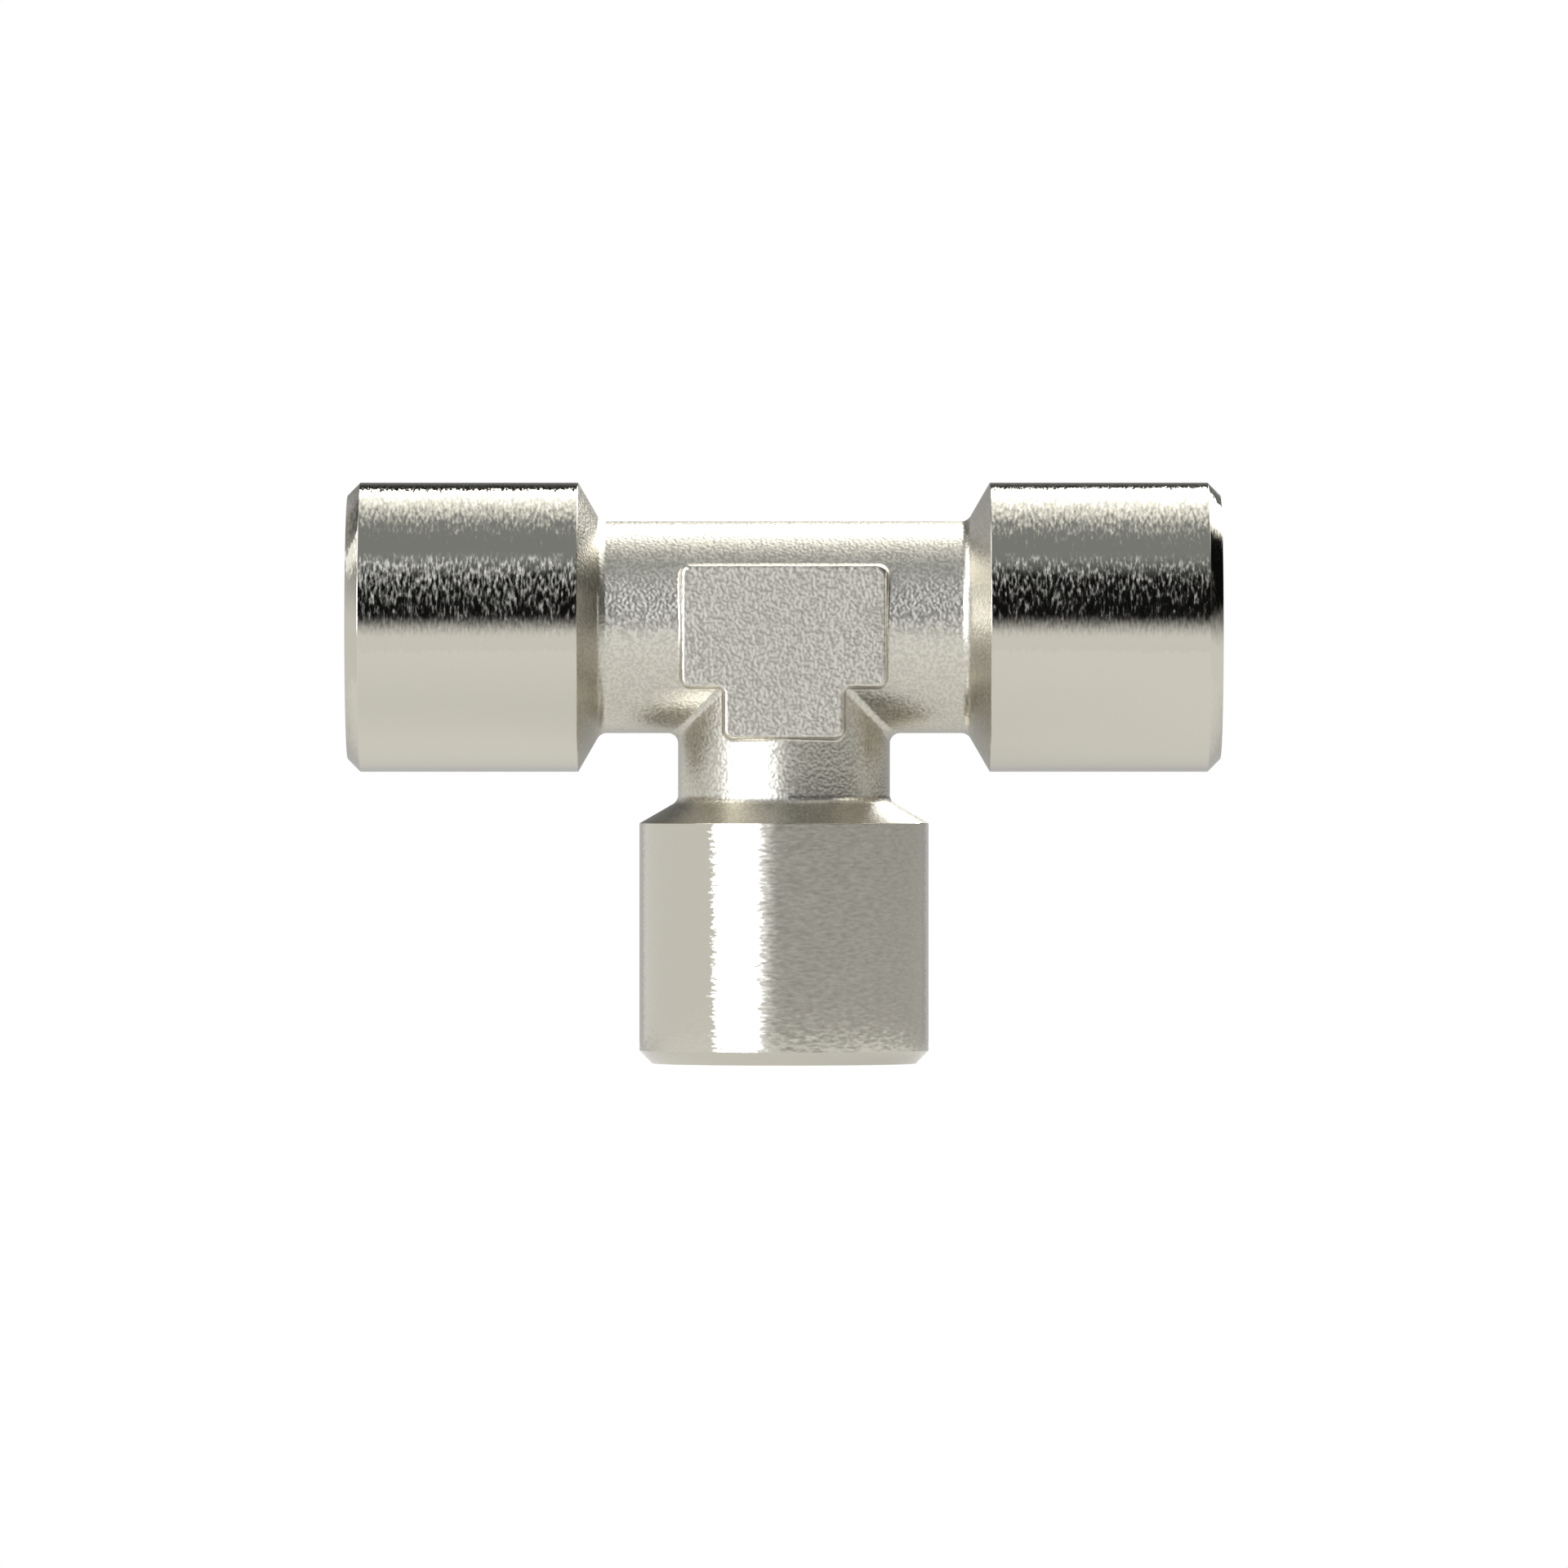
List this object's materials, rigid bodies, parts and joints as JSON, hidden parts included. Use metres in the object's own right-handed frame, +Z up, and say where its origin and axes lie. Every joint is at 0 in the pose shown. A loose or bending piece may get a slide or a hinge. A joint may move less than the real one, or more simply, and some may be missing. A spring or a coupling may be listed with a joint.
{
  "type": "pipe tee",
  "caption": "Equal pipe tee with three internally threaded sockets on slim forged necks and a T-shaped flat pad on its front and back, nickel-plated brass.",
  "frame": {"origin": "centre of the branch port's end face, on which the tee stands", "axes": "+Z up the branch to the run, +X along the run towards its right-hand port, -Y out of the front pad towards the viewer of the picture"},
  "size_m": [0.0514, 0.017, 0.0342],
  "materials": {
    "nickel_plated_brass": "nickel plated: sockets turned bright, necks, cones and pads satin as forged"
  },
  "bodies": {
    "root": {"tee_body": "nickel_plated_brass"}
  },
  "joints": []
}
